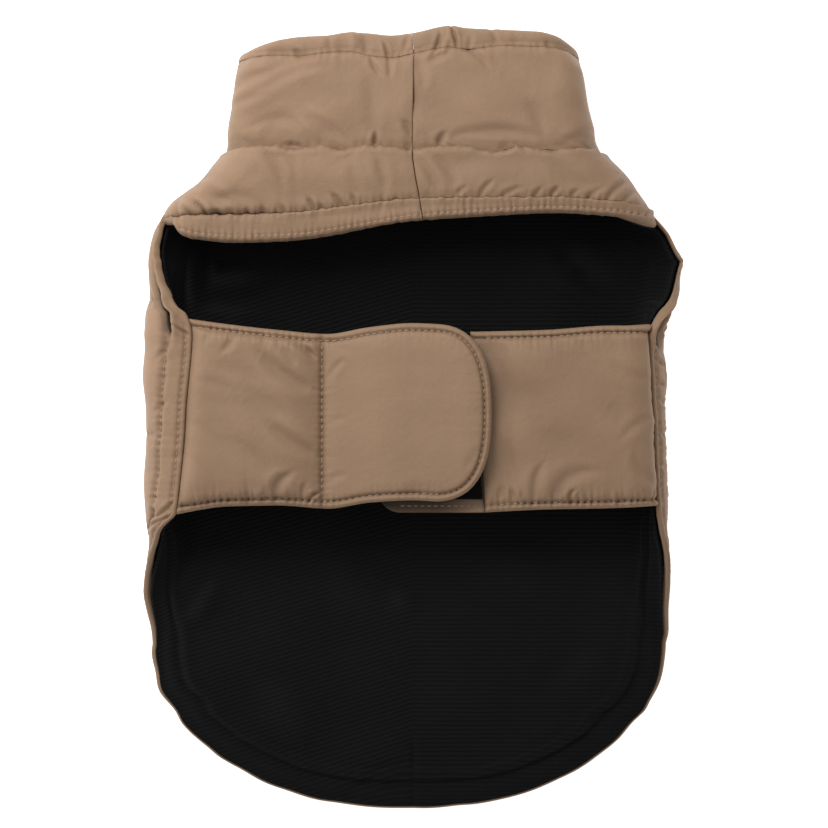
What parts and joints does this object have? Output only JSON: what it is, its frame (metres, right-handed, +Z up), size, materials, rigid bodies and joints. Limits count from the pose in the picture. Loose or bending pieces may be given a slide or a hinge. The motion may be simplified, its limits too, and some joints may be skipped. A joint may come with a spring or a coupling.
{
  "type": "dog winter coat",
  "caption": "Padded dog coat laid on its back, belly up, with a stand collar, round tail flap and closed belly band.",
  "frame": {"origin": "centre of the bounding box's base, on the surface that the coat lies on", "axes": "+X to the right of the laid coat seen from above, +Y from tail to neck, +Z up from the surface, through the belly band"},
  "size_m": [0.2455, 0.3547, 0.0422],
  "materials": {
    "shell": "matte",
    "lining": "matte",
    "tape": "matte",
    "thread": "satin"
  },
  "bodies": {
    "root": {"back_panel": "shell", "back_lining": "lining", "collar": "shell", "collar_casing": "shell", "chest_left": "shell", "chest_right": "shell", "chest_hem_left": "shell", "chest_hem_right": "shell", "belly_band_left": "shell", "belly_band_right": "shell", "band_tab": "shell", "loop_patch": "tape", "hook_patch": "tape"}
  },
  "joints": []
}
